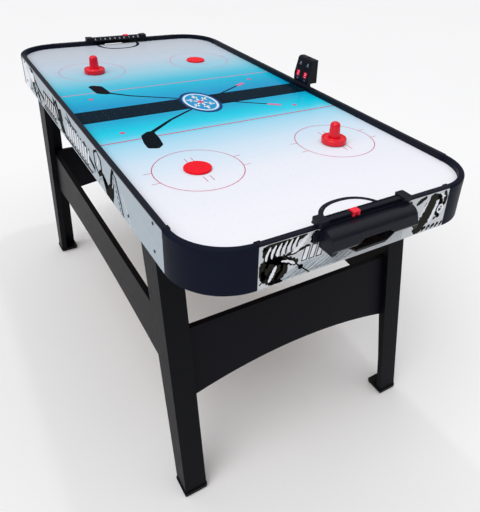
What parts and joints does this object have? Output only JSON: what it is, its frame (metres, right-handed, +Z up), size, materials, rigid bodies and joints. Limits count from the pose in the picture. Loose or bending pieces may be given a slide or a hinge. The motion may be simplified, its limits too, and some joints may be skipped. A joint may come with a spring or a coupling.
{
  "type": "air hockey table",
  "caption": "Free-standing air hockey table with splayed legs, rounded corners, goal boxes, score strips, a clip-on score unit, pushers and pucks.",
  "frame": {"origin": "centre of the playfield's top face, 791 mm above the floor", "axes": "+X along the table to its near goal, +Y across to the side with the electronic score unit, +Z up"},
  "size_m": [1.61, 0.784, 0.8862],
  "materials": {
    "playfield_print": "smooth glossy laminate with a printed rink",
    "apron_print": "paper-wrapped board, satin",
    "rail_black": "satin extrusion",
    "corner_black": "satin moulding",
    "leg_black": "dark foil-wrapped board",
    "panel_black": "dark foil-wrapped board",
    "boot_black": "soft satin",
    "goal_black": "fine satin moulding",
    "strip_black": "satin",
    "slider_red": "bright moulding",
    "chamber_board": "raw board",
    "blower_black": "satin",
    "impeller_white": "moulded",
    "motor_steel": "drawn can",
    "control_black": "textured",
    "rocker_black": "gloss",
    "unit_black": "fine texture",
    "window_red": "translucent red lens",
    "circuit_green": "solder mask",
    "button_black": "moulded",
    "pusher_red": "polished moulding",
    "felt_black": "pressed felt",
    "puck_red": "polished moulding",
    "screw_black": "blackened",
    "bolt_zinc": "zinc plated"
  },
  "bodies": {
    "table": {"playfield_board": "playfield_print", "plenum_frame": "chamber_board", "plenum_floor": "chamber_board", "blower_housing": "blower_black", "blower_grille": "blower_black", "blower_motor": "motor_steel", "control_plate": "control_black", "power_jack": "control_black", "goal_sensors": "control_black", "unit_front_housing": "unit_black", "unit_back_housing": "unit_black", "unit_bracket": "unit_black", "display_windows": "window_red", "circuit_board": "circuit_green", "apron_screws": "screw_black", "leg_bolts": "bolt_zinc", "end_apron_near": "apron_print", "end_rail_near": "rail_black", "end_panel_near": "panel_black", "score_strip_near": "strip_black", "goal_box_near": "goal_black", "goal_tray_near": "goal_black", "end_apron_far": "apron_print", "end_rail_far": "rail_black", "end_panel_far": "panel_black", "score_strip_far": "strip_black", "goal_box_far": "goal_black", "goal_tray_far": "goal_black", "side_apron_left": "apron_print", "side_rail_left": "rail_black", "side_stretcher_left": "panel_black", "side_apron_right": "apron_print", "side_rail_right": "rail_black", "side_stretcher_right": "panel_black", "corner_near_right": "corner_black", "leg_near_right": "leg_black", "foot_boot_near_right": "boot_black", "corner_near_left": "corner_black", "leg_near_left": "leg_black", "foot_boot_near_left": "boot_black", "corner_far_right": "corner_black", "leg_far_right": "leg_black", "foot_boot_far_right": "boot_black", "corner_far_left": "corner_black", "leg_far_left": "leg_black", "foot_boot_far_left": "boot_black"},
    "slider_near": {"score_slider_near": "slider_red"},
    "slider_far": {"score_slider_far": "slider_red"},
    "impeller": {"blower_impeller": "impeller_white"},
    "rocker": {"rocker_switch": "rocker_black"},
    "button": {"reset_button": "button_black"},
    "cover": {"battery_cover": "unit_black"},
    "striker_near": {"pusher_near": "pusher_red", "pusher_felt_near": "felt_black"},
    "striker_far": {"pusher_far": "pusher_red", "pusher_felt_far": "felt_black"},
    "disc_near": {"puck_near": "puck_red"},
    "disc_far": {"puck_far": "puck_red"}
  },
  "joints": [
    {"name": "score_slider_near_slide", "type": "slide", "parent": "table", "child": "slider_near", "axis": [0, 1, 0], "range_m": [-0.0565, 0.1125]},
    {"name": "score_slider_far_slide", "type": "slide", "parent": "table", "child": "slider_far", "axis": [0, 1, 0], "range_m": [-0.1225, 0.0465]},
    {"name": "impeller_spin", "type": "hinge", "parent": "table", "child": "impeller", "pos_m": [0, 0, -0.08], "axis": [0, 0, 1], "continuous": true},
    {"name": "rocker_tilt", "type": "hinge", "parent": "table", "child": "rocker", "pos_m": [-0.392, 0.3735, -0.04], "axis": [1, 0, 0], "range_deg": [-8, 8]},
    {"name": "reset_press", "type": "slide", "parent": "table", "child": "button", "axis": [0, 0, -1], "range_m": [0, 0.0018], "stiffness_N_per_m": 300},
    {"name": "battery_cover_slide", "type": "slide", "parent": "table", "child": "cover", "axis": [0, 1, 0], "range_m": [0, 0.03]},
    {"name": "pusher_near_glide", "type": "slide", "parent": "table", "child": "striker_near", "axis": [1, 0, 0], "range_m": [-0.363, 0.287]},
    {"name": "pusher_far_glide", "type": "slide", "parent": "table", "child": "striker_far", "axis": [1, 0, 0], "range_m": [-0.315, 0.335]},
    {"name": "puck_near_glide", "type": "slide", "parent": "table", "child": "disc_near", "axis": [1, 0, 0], "range_m": [-0.35, 0.3]},
    {"name": "puck_far_glide", "type": "slide", "parent": "table", "child": "disc_far", "axis": [1, 0, 0], "range_m": [-0.297, 0.353]}
  ]
}
